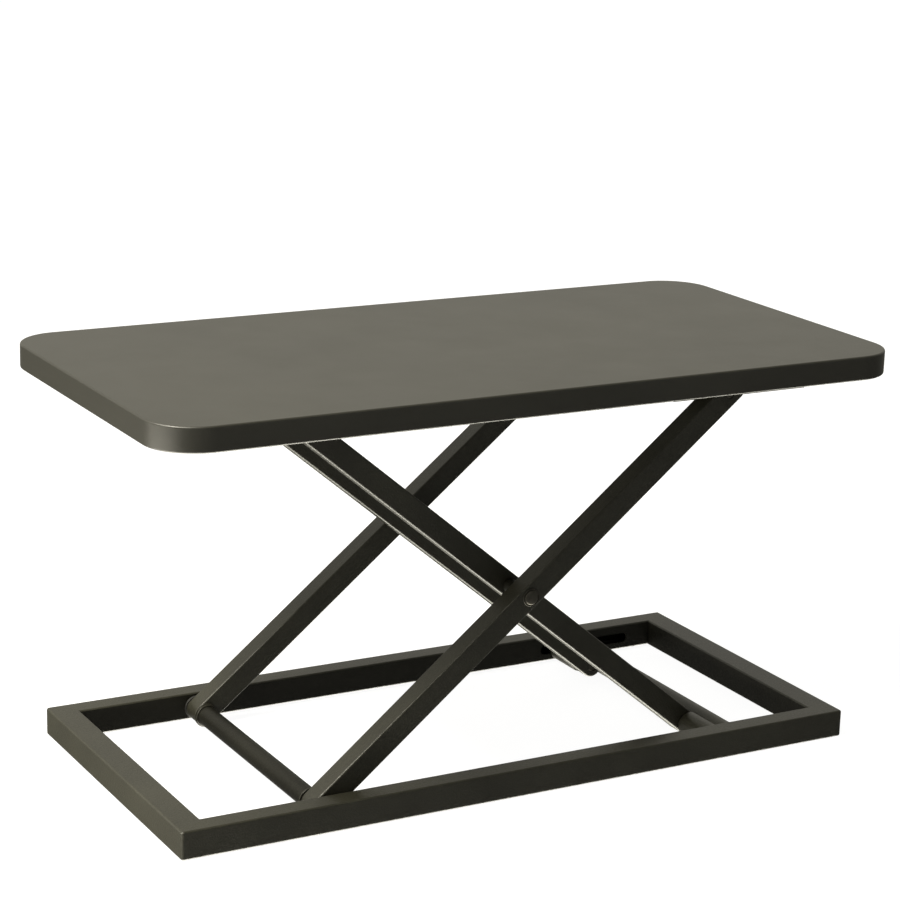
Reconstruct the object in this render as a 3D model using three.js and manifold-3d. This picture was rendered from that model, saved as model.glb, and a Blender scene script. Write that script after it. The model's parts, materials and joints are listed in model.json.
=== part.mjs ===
// A standing desk converter: a tabletop carried over an open base frame by two scissor pairs.
// Millimetres, +Z up. The origin is under the middle of the base, on the desk it stands on.
// The long side of the tabletop runs along X and its front edge faces -Y.
// The outer arms climb from left to right, the inner arms from right to left.
import * as THREE from 'three';
import { mergeVertices } from 'three/addons/utils/BufferGeometryUtils.js';
import Module from 'manifold-3d';

const wasm = await Module();
wasm.setup();

// ---- Base frame ----
const base_width = 635;
const base_depth = 299;
const long_rail_width = 20;
const end_rail_width = 24;
const rail_rise = 4.2;
const rail_wall = 1.6;
const rail_edge_radius = 1.8;
const mitre_gap = 0.5;

// ---- Rubber feet ----
const foot_height = 0.8;
const foot_diameter = 15;
const foot_stem_diameter = 6;
const foot_stem_length = 4;
const foot_roller_gap = 2.5;

// ---- Scissor arms ----
const arm_size = 20;
const arm_wall = 1.6;
const arm_edge_radius = 1.6;
const rest_angle = THREE.MathUtils.degToRad(39.2);
const lowered_angle = THREE.MathUtils.degToRad(23);
const raised_angle = THREE.MathUtils.degToRad(42.2);
const fixed_pivot_inset = 132.5;
const arm_spacing = 16;
const end_block_neck = 12;
const end_block_stem = 18;
const end_block_root = 1;

// ---- Fixed pivots at the left of the base ----
const base_pin_diameter = 10;
const base_pin_overrun = 14;
const base_washer_thickness = 2.4;
const base_washer_diameter = 21;

// ---- Tie tubes and collars ----
const tie_wall = 2.5;
const tie_pin_gap = 1.25;
const collar_rim = 2.25;
const collar_thickness = 3;
const inner_tie_proud = 0.5;
const inner_tie_axle_gap = 1.7;
const inner_tie_end_gap = 2.6;

// ---- Rolling axles at the right of the base ----
const axle_diameter = 8;
const sleeve_proud = 1;
const rail_roller_width = 11;
const rail_roller_headroom = 2.6;

// ---- Centre pivots ----
const bolt_flange_diameter = 15.4;
const bolt_flange_thickness = 0.6;
const bolt_dome_diameter = 12.6;
const bolt_dome_height = 1.6;
const pivot_spacer_diameter = 12;
const nut_corner_gap = 0.9;
const nut_height = 5;

// ---- Tabletop ----
const table_end_overhang = 23.5;
const table_edge_overhang = 21.25;
const table_thickness = 21;
const table_corner_radius = 42;
const table_edge_radius = 1.5;
const table_clearance = 2.5;

// ---- Tracks under the tabletop ----
const track_width = 15;
const track_wall = 1.6;
const track_offset = 4;
const track_axle_diameter = 6;
const track_roller_diameter = 12;
const track_roller_width = 10;
const track_end_margin = 24;

// ---- Hinge brackets under the tabletop ----
const bracket_wall = 2.4;
const bracket_length = 54;
const bracket_flange = 13;
const bracket_tip_gap = 2;
const bracket_window_margin = 4;
const hinge_pin_diameter = 8;

// ---- Wood screws ----
const screw_head_diameter = 8;
const screw_head_height = 1.2;
const screw_shank_diameter = 4;
const screw_length = 13;

// ---- Clearances ----
const seat_gap = 0.2;
const weld_gap = 0.3;
const running_gap = 0.4;
const slide_gap = 0.6;
const cutter_margin = 5;

// ---- Facets: how many flat sides stand in for a round face ----
const large_round_sides = 36;
const small_round_sides = 20;
const large_round_diameter = 11;
const hole_sides = 24;
const bolt_sides = 32;
const bolt_dome_steps = 5;
const screw_sides = 14;
const edge_segments = 4;
const corner_segments = 16;
const table_edge_segments = 3;

// ---- Sizes that follow from the ones above ----
const rail_height = arm_size + rail_rise;
const base_height = foot_height + rail_height;
const rail_inner_y = base_depth / 2 - long_rail_width;
const rail_middle_y = base_depth / 2 - long_rail_width / 2;
const end_rail_inner_x = base_width / 2 - end_rail_width;
const rail_middle_z = foot_height + rail_height / 2;
const rail_roller_diameter = rail_height - 2 * rail_wall - rail_roller_headroom;
const pivot_x = fixed_pivot_inset - base_width / 2;
const pivot_z = foot_height + rail_wall + running_gap + rail_roller_diameter / 2;
const outer_tie_diameter = base_pin_diameter + 2 * (tie_pin_gap + tie_wall);
const collar_diameter = outer_tie_diameter + 2 * collar_rim;
const sleeve_diameter = arm_size + 2 * sleeve_proud;
const inner_tie_diameter = arm_size + 2 * inner_tie_proud;
const inner_tie_reach = (axle_diameter + inner_tie_diameter) / 2 + inner_tie_axle_gap;
const roller_far_x = end_rail_inner_x - inner_tie_end_gap - inner_tie_diameter / 2 - inner_tie_reach;
const arm_pitch = (roller_far_x - pivot_x) / Math.cos(lowered_angle);
const table_width = base_width + 2 * table_end_overhang;
const table_depth = base_depth + 2 * table_edge_overhang;
const washer_space = base_washer_thickness + 2 * weld_gap;
const outer_arm_y = rail_inner_y - washer_space - arm_size / 2;
const inner_arm_y = outer_arm_y - arm_size - arm_spacing;
const pivot_drop = arm_size / 2 + table_clearance;
const cross_x = pivot_x + (arm_pitch / 2) * Math.cos(rest_angle);
const cross_z = pivot_z + (arm_pitch / 2) * Math.sin(rest_angle);
const top_pivot_z = pivot_z + arm_pitch * Math.sin(rest_angle);
const roller_near_x = pivot_x + arm_pitch * Math.cos(raised_angle);
const foot_x = roller_far_x + (rail_roller_diameter + foot_stem_diameter) / 2 + foot_roller_gap;
const table_underside = top_pivot_z + pivot_drop;
const nut_corner_diameter = arm_size - 2 * (arm_wall + nut_corner_gap);
const bore = (diameter) => diameter + 2 * running_gap;

// ---- Materials ----
const powder_coat = new THREE.MeshStandardMaterial({ color: 0x2b2a24, roughness: 0.5, metalness: 0.35 });
const laminate = new THREE.MeshStandardMaterial({ color: 0x2f2e28, roughness: 0.42, metalness: 0.0 });
const dark_steel = new THREE.MeshStandardMaterial({ color: 0x24231f, roughness: 0.38, metalness: 0.8 });
const rubber = new THREE.MeshStandardMaterial({ color: 0x161614, roughness: 0.9, metalness: 0.0 });
const nylon = new THREE.MeshStandardMaterial({ color: 0x1d1d1a, roughness: 0.6, metalness: 0.0 });
const zinc_steel = new THREE.MeshStandardMaterial({ color: 0x8d8d88, roughness: 0.35, metalness: 0.9 });

// ---- Solids ----

// A closed geometry as a solid that can be cut and joined.
function solidOf(geometry) {
  const bare = geometry.clone();
  bare.deleteAttribute('normal');
  bare.deleteAttribute('uv');
  const merged = mergeVertices(bare, 1e-4);
  const mesh = new wasm.Mesh({
    numProp: 3,
    vertProperties: new Float32Array(merged.attributes.position.array),
    triVerts: new Uint32Array(merged.index.array),
  });
  return new wasm.Manifold(mesh);
}

function geometryOf(solid) {
  const mesh = solid.getMesh();
  const geometry = new THREE.BufferGeometry();
  geometry.setAttribute('position', new THREE.BufferAttribute(new Float32Array(mesh.vertProperties), 3));
  geometry.setIndex(new THREE.BufferAttribute(new Uint32Array(mesh.triVerts), 1));
  geometry.computeVertexNormals();
  return geometry;
}

function box(size_x, size_y, size_z, x = 0, y = 0, z = 0) {
  return solidOf(new THREE.BoxGeometry(size_x, size_y, size_z).translate(x, y, z));
}

// Sides on a round section, so that small pins stay light and large tubes stay smooth.
function roundSides(diameter) {
  return diameter > large_round_diameter ? large_round_sides : small_round_sides;
}

// A round bar along Y, centred at y.
function rod(diameter, length, x = 0, y = 0, z = 0, segments = roundSides(diameter)) {
  const geometry = new THREE.CylinderGeometry(diameter / 2, diameter / 2, length, segments);
  return solidOf(geometry.translate(x, y, z));
}

// A round tube along Y, open at both ends.
function pipe(diameter, inner_diameter, length, x = 0, y = 0, z = 0) {
  return rod(diameter, length, x, y, z).subtract(rod(inner_diameter, length + cutter_margin, x, y, z));
}

// A bar along X with a rounded rectangular section.
function roundedBar(length, width, height, radius) {
  const half_width = width / 2;
  const half_height = height / 2;
  const shape = new THREE.Shape();
  shape.moveTo(-half_width + radius, -half_height);
  shape.lineTo(half_width - radius, -half_height);
  shape.absarc(half_width - radius, -half_height + radius, radius, -Math.PI / 2, 0, false);
  shape.lineTo(half_width, half_height - radius);
  shape.absarc(half_width - radius, half_height - radius, radius, 0, Math.PI / 2, false);
  shape.lineTo(-half_width + radius, half_height);
  shape.absarc(-half_width + radius, half_height - radius, radius, Math.PI / 2, Math.PI, false);
  shape.lineTo(-half_width, -half_height + radius);
  shape.absarc(-half_width + radius, -half_height + radius, radius, Math.PI, 1.5 * Math.PI, false);
  const geometry = new THREE.ExtrudeGeometry(shape, {
    depth: length,
    bevelEnabled: false,
    curveSegments: edge_segments,
  });
  geometry.translate(0, 0, -length / 2);
  geometry.rotateX(Math.PI / 2);
  geometry.rotateZ(Math.PI / 2);
  return solidOf(geometry);
}

// A square or rectangular tube along X, open at both ends.
function squareTube(length, width, height, wall, radius) {
  const hollow = box(length + cutter_margin, width - 2 * wall, height - 2 * wall);
  return roundedBar(length, width, height, radius).subtract(hollow);
}

// A flat outline in X and Z, thickened along Y about y.
function plateY(shape, thickness, y = 0) {
  const geometry = new THREE.ExtrudeGeometry(shape, {
    depth: thickness,
    bevelEnabled: false,
    curveSegments: corner_segments,
  });
  geometry.rotateX(Math.PI / 2);
  geometry.translate(0, thickness / 2 + y, 0);
  return solidOf(geometry);
}

// A turned piece about Y: points are [radius, y] pairs that start and end on the axis.
function turned(points, segments) {
  const profile = points.map(([radius, y]) => new THREE.Vector2(radius, y));
  return new THREE.LatheGeometry(profile, segments);
}

const part = new THREE.Group();

function addMesh(parent, name, geometry, material) {
  const mesh = new THREE.Mesh(geometry, material);
  mesh.name = name;
  parent.add(mesh);
  return mesh;
}

function addSolid(parent, name, solid, material) {
  return addMesh(parent, name, geometryOf(solid), material);
}

// The front of the object is at -Y, the back at +Y.
const sides = [
  { name: 'front', sign: -1 },
  { name: 'back', sign: 1 },
];
const ends = [
  { name: 'left', sign: -1 },
  { name: 'right', sign: 1 },
];

// ---- Base frame: four tubes, mitred and welded at the corners ----

function mitrePrism(points) {
  const shape = new THREE.Shape(points.map(([x, y]) => new THREE.Vector2(x, y)));
  const depth = base_height + 2 * cutter_margin;
  const geometry = new THREE.ExtrudeGeometry(shape, { depth, bevelEnabled: false });
  return solidOf(geometry.translate(0, 0, -cutter_margin));
}

function longRail(sign) {
  const outer_x = base_width / 2 - mitre_gap;
  const inner_x = end_rail_inner_x - mitre_gap;
  const outer_y = (sign * base_depth) / 2;
  const inner_y = sign * rail_inner_y;
  const tube = squareTube(base_width, long_rail_width, rail_height, rail_wall, rail_edge_radius)
    .translate([0, sign * rail_middle_y, rail_middle_z]);
  const outline = [[-outer_x, outer_y], [outer_x, outer_y], [inner_x, inner_y], [-inner_x, inner_y]];
  let rail = tube.intersect(mitrePrism(sign < 0 ? outline : outline.reverse()));

  const slot_height = axle_diameter + 2 * slide_gap;
  const slot_length = roller_far_x - roller_near_x;
  const slot_depth = rail_wall + 2 * running_gap;
  const slot_y = inner_y + (sign * rail_wall) / 2;
  const slot_mid = (roller_far_x + roller_near_x) / 2;
  rail = rail.subtract(box(slot_length, slot_depth, slot_height, slot_mid, slot_y, pivot_z));
  for (const end_x of [roller_near_x, roller_far_x]) {
    rail = rail.subtract(rod(slot_height, slot_depth, end_x, slot_y, pivot_z, hole_sides));
  }

  rail = rail.subtract(rod(base_pin_diameter + 2 * weld_gap, slot_depth, pivot_x, slot_y, pivot_z));
  for (const end of ends) {
    const radius = foot_stem_diameter / 2 + seat_gap;
    const hole = new THREE.CylinderGeometry(radius, radius, 2 * (rail_wall + running_gap), hole_sides);
    hole.rotateX(Math.PI / 2);
    hole.translate(end.sign * foot_x, sign * rail_middle_y, foot_height);
    rail = rail.subtract(solidOf(hole));
  }
  return rail;
}

function endRail(sign) {
  const outer_x = (sign * base_width) / 2;
  const inner_x = sign * end_rail_inner_x;
  const outer_y = base_depth / 2;
  const tube = squareTube(base_depth, end_rail_width, rail_height, rail_wall, rail_edge_radius)
    .rotate([0, 0, 90])
    .translate([(outer_x + inner_x) / 2, 0, rail_middle_z]);
  const inner_y = rail_inner_y;
  const outline = [[outer_x, -outer_y], [outer_x, outer_y], [inner_x, inner_y], [inner_x, -inner_y]];
  return tube.intersect(mitrePrism(sign > 0 ? outline : outline.reverse()));
}

for (const side of sides) {
  addSolid(part, `base_rail_${side.name}`, longRail(side.sign), powder_coat);
}
addSolid(part, 'base_rail_left', endRail(-1), powder_coat);
addSolid(part, 'base_rail_right', endRail(1), powder_coat);

// ---- Push-in rubber feet, under the ends of the long rails ----

function footGeometry() {
  const head_top = foot_height - seat_gap;
  const geometry = turned([
    [0, 0],
    [foot_diameter / 2 - head_top / 2, 0],
    [foot_diameter / 2, head_top / 2],
    [foot_diameter / 2, head_top],
    [foot_stem_diameter / 2, head_top],
    [foot_stem_diameter / 2, foot_stem_length],
    [0, foot_stem_length],
  ], small_round_sides);
  return geometry.rotateX(Math.PI / 2);
}

for (const side of sides) {
  for (const end of ends) {
    const foot = addMesh(part, `foot_${side.name}_${end.name}`, footGeometry(), rubber);
    foot.position.set(end.sign * foot_x, side.sign * rail_middle_y, 0);
  }
}

// ---- Fixed pivots: a pin welded in each long rail, with a washer against the arm ----

const pin_reach = washer_space + arm_size + base_pin_overrun;

for (const side of sides) {
  const pin_end_y = rail_inner_y + rail_wall - weld_gap;
  const pin_length = pin_end_y - rail_inner_y + pin_reach;
  const pin_y = side.sign * (pin_end_y - pin_length / 2);
  const pin = rod(base_pin_diameter, pin_length, pivot_x, pin_y, pivot_z);
  addSolid(part, `base_pin_${side.name}`, pin, dark_steel);

  const washer_y = side.sign * (rail_inner_y - washer_space / 2);
  const washer = pipe(base_washer_diameter, bore(base_pin_diameter), base_washer_thickness,
    pivot_x, washer_y, pivot_z);
  addSolid(part, `base_washer_${side.name}`, washer, nylon);
}

// ---- Arms: a square tube with a rounded, bored block welded into each end ----

const tube_half = arm_pitch / 2 - end_block_neck;

// The tube between an arm's end blocks; bore_sides are the walls, -1 or +1, that the bolt passes.
function armTube(y, bore_sides) {
  let tube = squareTube(2 * tube_half, arm_size, arm_size, arm_wall, arm_edge_radius);
  for (const wall_side of bore_sides) {
    tube = tube.subtract(rod(bore(axle_diameter), arm_size, 0, (wall_side * arm_size) / 2, 0));
  }
  return tube.translate([0, y, 0]);
}

// The block at the end of an arm; end is -1 or +1 along the arm.
// A heel keeps the corner away from the tabletop square, where the block hangs below its pivot.
function endBlock(end, y, bore_diameter, heel = false) {
  const radius = arm_size / 2;
  const neck_start = tube_half + weld_gap;
  const outline = new THREE.Shape();
  outline.moveTo(neck_start, -radius);
  outline.lineTo(arm_pitch / 2, -radius);
  if (heel) {
    outline.lineTo(arm_pitch / 2 + radius, -radius);
    outline.lineTo(arm_pitch / 2 + radius, 0);
  }
  outline.absarc(arm_pitch / 2, 0, radius, heel ? 0 : -Math.PI / 2, Math.PI / 2, false);
  outline.lineTo(neck_start, radius);
  outline.closePath();
  const stock_length = end_block_neck + arm_size;
  const stock = roundedBar(stock_length, arm_size, arm_size, arm_edge_radius)
    .translate([neck_start + stock_length / 2, 0, 0]);
  const stem_size = arm_size - 2 * arm_wall - 2 * weld_gap;
  const stem = box(end_block_stem + end_block_root, stem_size, stem_size,
    neck_start - (end_block_stem - end_block_root) / 2, 0, 0);
  return stock.intersect(plateY(outline, arm_size + cutter_margin))
    .add(stem)
    .subtract(rod(bore_diameter, arm_size + cutter_margin, arm_pitch / 2, 0, 0))
    .rotate([0, end < 0 ? 180 : 0, 0])
    .translate([0, y, 0]);
}

const outer_arms = new THREE.Group();
outer_arms.position.set(cross_x, 0, cross_z);
outer_arms.rotation.y = -rest_angle;
part.add(outer_arms);

const inner_arms = new THREE.Group();
inner_arms.position.set(cross_x, 0, cross_z);
inner_arms.rotation.y = rest_angle;
part.add(inner_arms);

// ---- Outer arms: fixed pivots at the lower left, track rollers at the upper right ----

const outer_inner_face = outer_arm_y - arm_size / 2;
const outer_outer_face = outer_arm_y + arm_size / 2;
const track_outer_y = outer_inner_face - track_offset;

for (const side of sides) {
  const y = side.sign * outer_arm_y;
  addSolid(outer_arms, `outer_arm_${side.name}`, armTube(y, [-1, 1]), powder_coat);
  const foot = endBlock(-1, y, bore(base_pin_diameter));
  addSolid(outer_arms, `outer_arm_foot_${side.name}`, foot, powder_coat);
  const head = endBlock(1, y, bore(track_axle_diameter), true);
  addSolid(outer_arms, `outer_arm_head_${side.name}`, head, powder_coat);

  const collar_y = side.sign * (outer_inner_face - weld_gap - collar_thickness / 2);
  const collar = pipe(collar_diameter, outer_tie_diameter + 2 * weld_gap, collar_thickness,
    -arm_pitch / 2, collar_y, 0);
  addSolid(outer_arms, `tie_collar_${side.name}`, collar, powder_coat);

  const roller_y = track_outer_y - running_gap - track_roller_width / 2;
  const roller = pipe(track_roller_diameter, bore(track_axle_diameter), track_roller_width,
    arm_pitch / 2, side.sign * roller_y, 0);
  addSolid(outer_arms, `track_roller_${side.name}`, roller, nylon);

  const axle_outer_y = outer_outer_face - seat_gap;
  const axle_inner_y = roller_y - track_roller_width / 2 - running_gap;
  const axle = rod(track_axle_diameter, axle_outer_y - axle_inner_y, arm_pitch / 2,
    (side.sign * (axle_outer_y + axle_inner_y)) / 2, 0);
  addSolid(outer_arms, `track_axle_${side.name}`, axle, dark_steel);
}

const outer_tie_length = 2 * (outer_inner_face - weld_gap);
const outer_tie = pipe(outer_tie_diameter, outer_tie_diameter - 2 * tie_wall, outer_tie_length,
  -arm_pitch / 2, 0, 0);
addSolid(outer_arms, 'outer_tie', outer_tie, powder_coat);

// ---- Centre pivots: a domed bolt, a spacer between the arms and a nut inside the inner tube ----

const inner_outer_face = inner_arm_y + arm_size / 2;
const inner_inner_face = inner_arm_y - arm_size / 2;

// A bolt along +Y: its flange lies at y = 0 and its dome ends at the greatest y.
function boltGeometry(shank_length) {
  const shank_radius = axle_diameter / 2;
  const flange_radius = bolt_flange_diameter / 2;
  const dome_radius = bolt_dome_diameter / 2;
  const points = [
    [0, -shank_length],
    [shank_radius, -shank_length],
    [shank_radius, 0],
    [flange_radius, 0],
    [flange_radius, bolt_flange_thickness],
    [dome_radius, bolt_flange_thickness],
  ];
  for (let step = 1; step <= bolt_dome_steps; step += 1) {
    const angle = (step / bolt_dome_steps) * (Math.PI / 2);
    const radius = step === bolt_dome_steps ? 0 : dome_radius * Math.cos(angle);
    points.push([radius, bolt_flange_thickness + bolt_dome_height * Math.sin(angle)]);
  }
  return turned(points, bolt_sides);
}

const nut_outer_face = inner_outer_face - arm_wall - running_gap;
const bolt_reach = outer_outer_face + seat_gap - nut_outer_face + nut_height;

for (const side of sides) {
  const bolt = addMesh(outer_arms, `pivot_bolt_${side.name}`, boltGeometry(bolt_reach), dark_steel);
  bolt.position.y = side.sign * (outer_outer_face + seat_gap);
  bolt.rotation.z = side.sign < 0 ? Math.PI : 0;

  const spacer_length = arm_spacing - 2 * running_gap;
  const spacer_y = side.sign * (outer_inner_face - arm_spacing / 2);
  const spacer = pipe(pivot_spacer_diameter, bore(axle_diameter), spacer_length, 0, spacer_y, 0);
  addSolid(outer_arms, `pivot_spacer_${side.name}`, spacer, powder_coat);

  const nut_y = side.sign * (nut_outer_face - nut_height / 2);
  const nut = rod(nut_corner_diameter, nut_height, 0, nut_y, 0, 6)
    .subtract(rod(bore(axle_diameter), nut_height + cutter_margin, 0, nut_y, 0));
  addSolid(outer_arms, `pivot_nut_${side.name}`, nut, dark_steel);
}

// ---- Inner arms: base rollers at the lower right, tabletop hinges at the upper left ----

// The inner tie lies beside the axles, level with them when the scissor stands at its rest angle.
const inner_tie_x = arm_pitch / 2 + inner_tie_reach * Math.cos(rest_angle);
const inner_tie_z = inner_tie_reach * Math.sin(rest_angle);
const inner_tie_length = 2 * (rail_inner_y - slide_gap);
const inner_tie_seat = rod(inner_tie_diameter + 2 * weld_gap, inner_tie_length + cutter_margin,
  inner_tie_x, 0, inner_tie_z);
const rail_hollow_half = (long_rail_width - 2 * rail_wall) / 2;

for (const side of sides) {
  const y = side.sign * inner_arm_y;
  addSolid(inner_arms, `inner_arm_${side.name}`, armTube(y, [side.sign]), powder_coat);
  const foot = endBlock(1, y, bore(axle_diameter)).subtract(inner_tie_seat);
  addSolid(inner_arms, `inner_arm_foot_${side.name}`, foot, powder_coat);
  const head = endBlock(-1, y, bore(hinge_pin_diameter));
  addSolid(inner_arms, `inner_arm_head_${side.name}`, head, powder_coat);

  const sleeve_outer_y = rail_inner_y - slide_gap;
  const sleeve_inner_y = inner_outer_face + weld_gap;
  const sleeve = pipe(sleeve_diameter, bore(axle_diameter), sleeve_outer_y - sleeve_inner_y,
    arm_pitch / 2, (side.sign * (sleeve_outer_y + sleeve_inner_y)) / 2, 0).subtract(inner_tie_seat);
  addSolid(inner_arms, `axle_sleeve_${side.name}`, sleeve, powder_coat);

  const rail_roller = pipe(rail_roller_diameter, bore(axle_diameter), rail_roller_width,
    arm_pitch / 2, side.sign * rail_middle_y, 0);
  addSolid(inner_arms, `rail_roller_${side.name}`, rail_roller, nylon);

  const axle_outer_y = rail_middle_y + rail_hollow_half - slide_gap;
  const axle_inner_y = inner_inner_face + seat_gap;
  const axle = rod(axle_diameter, axle_outer_y - axle_inner_y, arm_pitch / 2,
    (side.sign * (axle_outer_y + axle_inner_y)) / 2, 0);
  addSolid(inner_arms, `rail_axle_${side.name}`, axle, dark_steel);
}

const inner_tie = pipe(inner_tie_diameter, inner_tie_diameter - 2 * tie_wall, inner_tie_length,
  inner_tie_x, 0, inner_tie_z);
addSolid(inner_arms, 'inner_tie', inner_tie, powder_coat);

// ---- Tabletop ----

function tabletopGeometry() {
  const half_width = table_width / 2 - table_edge_radius;
  const half_depth = table_depth / 2 - table_edge_radius;
  const radius = table_corner_radius - table_edge_radius;
  const shape = new THREE.Shape();
  shape.moveTo(-half_width + radius, -half_depth);
  shape.lineTo(half_width - radius, -half_depth);
  shape.absarc(half_width - radius, -half_depth + radius, radius, -Math.PI / 2, 0, false);
  shape.lineTo(half_width, half_depth - radius);
  shape.absarc(half_width - radius, half_depth - radius, radius, 0, Math.PI / 2, false);
  shape.lineTo(-half_width + radius, half_depth);
  shape.absarc(-half_width + radius, half_depth - radius, radius, Math.PI / 2, Math.PI, false);
  shape.lineTo(-half_width, -half_depth + radius);
  shape.absarc(-half_width + radius, -half_depth + radius, radius, Math.PI, 1.5 * Math.PI, false);
  const geometry = new THREE.ExtrudeGeometry(shape, {
    depth: table_thickness - 2 * table_edge_radius,
    bevelEnabled: true,
    bevelThickness: table_edge_radius,
    bevelSize: table_edge_radius,
    bevelSegments: table_edge_segments,
    curveSegments: corner_segments,
  });
  return geometry.translate(0, 0, table_underside + table_edge_radius);
}

// A screw pointing up, with its pan head under z = 0.
function screwGeometry() {
  const geometry = turned([
    [0, -screw_head_height],
    [screw_head_diameter / 2 - screw_head_height / 2, -screw_head_height],
    [screw_head_diameter / 2, -screw_head_height / 2],
    [screw_head_diameter / 2, 0],
    [screw_shank_diameter / 2, 0],
    [screw_shank_diameter / 2, screw_length - screw_shank_diameter],
    [0, screw_length],
  ], screw_sides);
  return geometry.rotateX(Math.PI / 2);
}

const track_start_x = roller_near_x - track_end_margin;
const track_end_x = roller_far_x + track_end_margin;
const track_hollow_half = track_roller_diameter / 2 + running_gap;
const track_web = pivot_drop - seat_gap - track_hollow_half;
const bracket_ear_gap = arm_size / 2 + 2 * running_gap;
const bracket_half_depth = bracket_ear_gap + bracket_wall + bracket_flange;

const screw_places = [];
for (const side of sides) {
  for (const end of [{ name: 'left', x: track_start_x }, { name: 'right', x: track_end_x }]) {
    const inward = Math.sign(track_end_x + track_start_x - 2 * end.x);
    screw_places.push({
      name: `track_screw_${side.name}_${end.name}`,
      x: end.x + inward * screw_head_diameter,
      y: side.sign * (track_outer_y - track_width / 2),
      seat: track_web,
    });
  }
  for (const edge of [{ name: 'near', sign: 1 }, { name: 'far', sign: -1 }]) {
    screw_places.push({
      name: `bracket_screw_${side.name}_${edge.name}`,
      x: pivot_x,
      y: side.sign * inner_arm_y + side.sign * edge.sign * (bracket_half_depth - bracket_flange / 2),
      seat: bracket_wall,
    });
  }
}

function cutScrewHoles(solid, margin) {
  let cut = solid;
  for (const place of screw_places) {
    const radius = screw_shank_diameter / 2 + margin;
    const hole = new THREE.CylinderGeometry(radius, radius, 2 * (screw_length + margin), small_round_sides);
    hole.rotateX(Math.PI / 2);
    hole.translate(place.x, place.y, table_underside);
    cut = cut.subtract(solidOf(hole));
  }
  return cut;
}

const tabletop = cutScrewHoles(solidOf(tabletopGeometry()), seat_gap);
addSolid(part, 'tabletop', tabletop, laminate);

// ---- Tracks: channels under the tabletop, open toward the outer arms ----

for (const side of sides) {
  const height = track_web + 2 * track_hollow_half + track_wall;
  const length = track_end_x - track_start_x;
  const mid_x = (track_start_x + track_end_x) / 2;
  const top_z = table_underside - seat_gap;
  const mid_y = side.sign * (track_outer_y - track_width / 2);
  const block = box(length, track_width, height, mid_x, mid_y, top_z - height / 2);
  const hollow = box(length + cutter_margin, track_width, 2 * track_hollow_half,
    mid_x, mid_y + side.sign * track_wall, top_pivot_z);
  addSolid(part, `track_${side.name}`, cutScrewHoles(block.subtract(hollow), seat_gap), powder_coat);
}

// ---- Hinge brackets: two ears and a flange on each side of an inner arm ----

function bracketEar(y) {
  const half_length = bracket_length / 2;
  const foot_z = table_underside - seat_gap;
  const tip_radius = pivot_drop - bracket_tip_gap;
  const ear = new THREE.Shape();
  ear.moveTo(pivot_x - half_length, foot_z);
  ear.lineTo(pivot_x - half_length, foot_z - bracket_wall);
  ear.lineTo(pivot_x - tip_radius, top_pivot_z);
  ear.absarc(pivot_x, top_pivot_z, tip_radius, Math.PI, 2 * Math.PI, false);
  ear.lineTo(pivot_x + half_length, foot_z - bracket_wall);
  ear.lineTo(pivot_x + half_length, foot_z);
  ear.closePath();
  return plateY(ear, bracket_wall, y);
}

for (const side of sides) {
  const y = side.sign * inner_arm_y;
  const flange_z = table_underside - seat_gap - bracket_wall / 2;
  const depth = 2 * bracket_half_depth;
  const window_depth = 2 * bracket_ear_gap;
  const window_length = arm_size + 2 * bracket_window_margin;
  const plate = box(bracket_length, depth, bracket_wall, pivot_x, y, flange_z)
    .subtract(box(window_length, window_depth, bracket_wall + cutter_margin, pivot_x, y, flange_z));
  const ear_offset = bracket_ear_gap + bracket_wall / 2;
  const bracket = plate
    .add(bracketEar(y - ear_offset))
    .add(bracketEar(y + ear_offset))
    .subtract(rod(bore(hinge_pin_diameter), depth, pivot_x, y, top_pivot_z));
  addSolid(part, `hinge_bracket_${side.name}`, cutScrewHoles(bracket, seat_gap), dark_steel);

  const pin_length = 2 * (bracket_ear_gap + bracket_wall + seat_gap);
  const pin = rod(hinge_pin_diameter, pin_length, pivot_x, y, top_pivot_z);
  addSolid(part, `hinge_pin_${side.name}`, pin, dark_steel);
}

for (const place of screw_places) {
  const screw = addMesh(part, place.name, screwGeometry(), zinc_steel);
  screw.position.set(place.x, place.y, table_underside - seat_gap - place.seat - seat_gap);
}

export default part;
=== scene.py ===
"""A standing desk converter, raised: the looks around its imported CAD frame, in metres."""

import json
import math

import bmesh
import bpy
from mathutils import Matrix, Vector


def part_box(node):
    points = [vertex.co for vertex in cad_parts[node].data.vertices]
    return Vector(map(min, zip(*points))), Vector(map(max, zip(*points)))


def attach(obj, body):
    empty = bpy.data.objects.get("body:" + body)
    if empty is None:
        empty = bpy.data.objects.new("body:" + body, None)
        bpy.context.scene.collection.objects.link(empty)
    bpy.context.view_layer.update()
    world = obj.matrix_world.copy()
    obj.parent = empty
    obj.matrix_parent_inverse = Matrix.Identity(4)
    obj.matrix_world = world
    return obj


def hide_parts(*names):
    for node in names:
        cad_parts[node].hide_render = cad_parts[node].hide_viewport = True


SIDES = (("front", -1), ("back", 1))
MM = 0.001
FLAT_ANGLE = math.radians(32)

# ---- The view: azimuth 0 looks along +Y, and the camera leans a little anticlockwise ----
CAMERA_AZIMUTH = math.radians(-29.23)
CAMERA_ELEVATION = math.radians(15.14)
CAMERA_ROLL = math.radians(1.646)
CAMERA_PLACE = Vector((-1.0597, -1.8836, 0.8456))
CAMERA_LENS = 104.64
SENSOR_WIDTH = 36.0
CLIP_START = 0.05
CLIP_END = 60


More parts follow.
